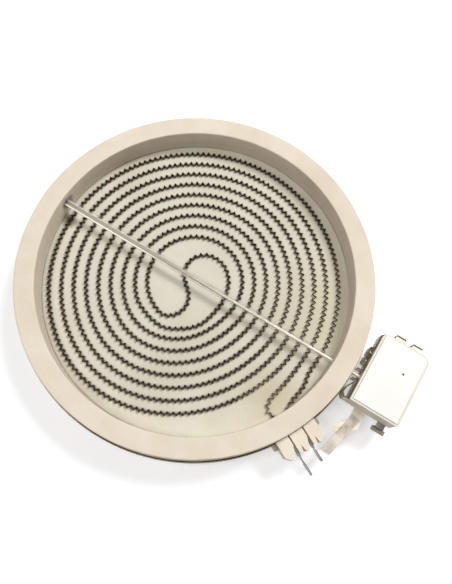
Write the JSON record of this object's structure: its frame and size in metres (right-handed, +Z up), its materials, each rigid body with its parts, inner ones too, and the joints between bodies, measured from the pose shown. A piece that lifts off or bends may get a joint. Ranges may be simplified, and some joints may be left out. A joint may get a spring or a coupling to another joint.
{
  "type": "radiant surface element",
  "caption": "Round radiant heater for a glass hob: corrugated ribbon spiral in an insulated steel dish, with a rod limiter, its ceramic switch head and a ceramic terminal block.",
  "frame": {"origin": "centre of the dish's flat bottom face", "axes": "+Z up towards the glass; +X along the limiter tube from the dish centre to the switch head; +Y completes the right hand frame"},
  "size_m": [0.2675, 0.231, 0.0306],
  "materials": {
    "dish_steel": "galvanised sheet steel, dull grey with a faint warm tint",
    "base_insulation": "pressed microporous insulation, matt, finely grained, cream grey",
    "ring_insulation": "pressed mineral fibre board, matt cream, finely speckled",
    "ribbon_alloy": "oxidised heating alloy, matt dark brown",
    "tube_quartz": "clear quartz tube",
    "rod_alloy": "bright drawn alloy rod",
    "nut_steel": "darkened steel",
    "head_ceramic": "unglazed white steatite, matt",
    "lid_ceramic": "unglazed white steatite, matt",
    "pin_metal": "small brown metal pin",
    "link_plate_steel": "nickel plated sheet steel, slightly heat tinted",
    "tab_steel": "nickel plated sheet steel",
    "spring_steel": "bright spring strip",
    "contact_metal": "silver contact tip",
    "striker_ceramic": "white ceramic pin",
    "bracket_steel": "darkened spring steel with a brownish tint",
    "block_ceramic": "unglazed cream steatite, matt",
    "blade_steel": "stainless strip, slightly heat tinted at the slots",
    "link_steel": "bright nickel strip with brown tint by the head"
  },
  "bodies": {
    "root": {"dish": "dish_steel", "insulation_base": "base_insulation", "insulation_ring": "ring_insulation", "heating_ribbon": "ribbon_alloy", "limiter_tube": "tube_quartz", "expansion_rod": "rod_alloy", "rod_nut": "nut_steel", "limiter_body": "head_ceramic", "limiter_lid": "lid_ceramic", "lid_pin": "pin_metal", "power_terminal": "link_plate_steel", "supply_terminal": "tab_steel", "lamp_terminal": "tab_steel", "signal_terminal": "tab_steel", "power_spring": "spring_steel", "signal_spring": "spring_steel", "power_contact": "contact_metal", "signal_contact": "contact_metal", "striker": "striker_ceramic", "limiter_bracket": "bracket_steel", "terminal_block": "block_ceramic", "free_blade": "blade_steel", "linked_blade": "blade_steel", "link_strip": "link_steel"}
  },
  "joints": []
}
